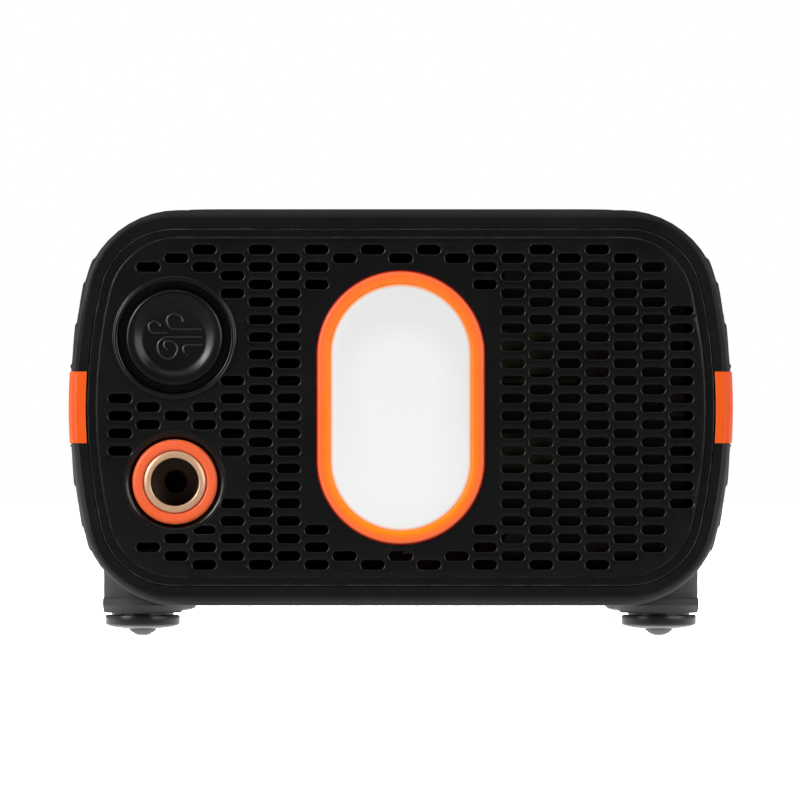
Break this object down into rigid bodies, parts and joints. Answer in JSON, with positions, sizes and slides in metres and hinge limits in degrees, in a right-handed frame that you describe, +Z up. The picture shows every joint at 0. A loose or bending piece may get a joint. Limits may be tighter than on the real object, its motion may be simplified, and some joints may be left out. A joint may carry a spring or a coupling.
{
  "type": "jump starter pack",
  "caption": "Box-shaped jump starter pack with a slotted grille, pill-shaped lamp, round air button, brass hose socket, fold-flat handle and four disc feet.",
  "frame": {"origin": "centre of the pack's footprint, on the ground that its feet stand on", "axes": "+X to the right seen from the front, +Y from the front (lamp end) to the back, +Z up"},
  "size_m": [0.1664, 0.239, 0.1076],
  "materials": {
    "shell_black": "fine-grained moulded black",
    "panel_black": "smooth satin black",
    "orange_plastic": "satin moulded orange",
    "lens_white": "milky diffuser, satin",
    "button_black": "polished black",
    "brass": "turned",
    "spring_steel": "drawn wire",
    "foot_rubber": "moulded rubber",
    "grip_rubber": "soft-touch",
    "screw_black": "black oxide",
    "deck_dark": "fine-grained",
    "key_dark": "satin",
    "window_dark": "polished",
    "module_grey": "dull",
    "reflector_white": "bright white",
    "led_yellow": "phosphor",
    "board_green": "solder mask",
    "part_yellow": "cast",
    "part_red": "moulded",
    "cell_wrap": "shrink wrap",
    "holder_black": "moulded",
    "nickel": "rolled strip",
    "alloy": "cast",
    "pin_steel": "ground",
    "motor_can": "zinc plated",
    "hose_rubber": "braid-free rubber",
    "lead_red": "silicone cover"
  },
  "bodies": {
    "case": {"upper_housing": "shell_black", "lower_housing": "shell_black", "side_strip_left": "orange_plastic", "side_strip_right": "orange_plastic", "front_bezel": "shell_black", "rear_bezel": "shell_black", "front_grille": "panel_black", "rear_panel": "panel_black", "button_well": "panel_black", "air_switch": "board_green", "socket_cup": "panel_black", "hose_socket": "brass", "lamp_bezel": "orange_plastic", "lamp_lens": "lens_white", "lamp_reflector": "reflector_white", "lamp_board": "reflector_white", "lamp_leds": "led_yellow", "lamp_heatsink": "alloy", "top_deck": "deck_dark", "display_window": "window_dark", "display_module": "module_grey", "key_board": "board_green", "handle_pins": "pin_steel", "feet": "foot_rubber", "foot_screws": "screw_black", "jump_socket": "holder_black", "jump_contacts": "brass", "port_block": "holder_black", "port_shells": "nickel", "cover_pins": "pin_steel", "control_board": "board_green", "board_capacitors": "part_yellow", "board_relays": "part_red", "battery_cells": "cell_wrap", "cell_holders": "holder_black", "bus_bars": "nickel", "power_board": "board_green", "power_parts": "part_yellow", "compressor_motor": "motor_can", "crankcase": "alloy", "cylinder": "alloy", "cylinder_head": "alloy", "compressor_bracket": "pin_steel", "air_hose": "hose_rubber", "power_leads": "lead_red"},
    "air_button": {"air_button": "button_black", "button_spring": "spring_steel"},
    "release_sleeve": {"release_sleeve": "orange_plastic", "sleeve_spring": "spring_steel"},
    "handle": {"handle": "deck_dark", "handle_grip": "grip_rubber"},
    "key_power": {"key_power": "orange_plastic"},
    "key_light": {"key_light": "key_dark"},
    "key_mode": {"key_mode": "key_dark"},
    "key_plus": {"key_plus": "key_dark"},
    "key_minus": {"key_minus": "key_dark"},
    "jump_cover": {"jump_cover": "orange_plastic"},
    "port_cover": {"port_cover": "deck_dark"},
    "fan": {"fan_rotor": "holder_black", "motor_shaft": "pin_steel"}
  },
  "joints": [
    {"name": "air_button_press", "type": "slide", "parent": "case", "child": "air_button", "axis": [0, 1, 0], "range_m": [0, 0.002], "stiffness_N_per_m": 400, "springref_m": -0.003, "deforming": ["button_spring"]},
    {"name": "release_sleeve_slide", "type": "slide", "parent": "case", "child": "release_sleeve", "axis": [0, 1, 0], "range_m": [0, 0.003], "stiffness_N_per_m": 300, "springref_m": -0.003, "deforming": ["sleeve_spring"]},
    {"name": "handle_swing", "type": "hinge", "parent": "case", "child": "handle", "pos_m": [0, 0.0105, 0.1009], "axis": [1, 0, 0], "range_deg": [0, 90]},
    {"name": "key_power_press", "type": "slide", "parent": "case", "child": "key_power", "axis": [0, 0, -1], "range_m": [0, 0.0008], "stiffness_N_per_m": 400, "springref_m": -0.001},
    {"name": "key_light_press", "type": "slide", "parent": "case", "child": "key_light", "axis": [0, 0, -1], "range_m": [0, 0.0008], "stiffness_N_per_m": 400, "springref_m": -0.001},
    {"name": "key_mode_press", "type": "slide", "parent": "case", "child": "key_mode", "axis": [0, 0, -1], "range_m": [0, 0.0008], "stiffness_N_per_m": 400, "springref_m": -0.001},
    {"name": "key_plus_press", "type": "slide", "parent": "case", "child": "key_plus", "axis": [0, 0, -1], "range_m": [0, 0.0008], "stiffness_N_per_m": 400, "springref_m": -0.001},
    {"name": "key_minus_press", "type": "slide", "parent": "case", "child": "key_minus", "axis": [0, 0, -1], "range_m": [0, 0.0008], "stiffness_N_per_m": 400, "springref_m": -0.001},
    {"name": "jump_cover_hinge", "type": "hinge", "parent": "case", "child": "jump_cover", "pos_m": [0.036, 0.1154, 0.0535], "axis": [1, 0, 0], "range_deg": [0, 110]},
    {"name": "port_cover_hinge", "type": "hinge", "parent": "case", "child": "port_cover", "pos_m": [0.036, 0.1154, 0.0895], "axis": [1, 0, 0], "range_deg": [0, 110]},
    {"name": "fan_spin", "type": "hinge", "parent": "case", "child": "fan", "pos_m": [-0.044, 0.0975, 0.0443], "axis": [0, 1, 0], "continuous": true}
  ]
}
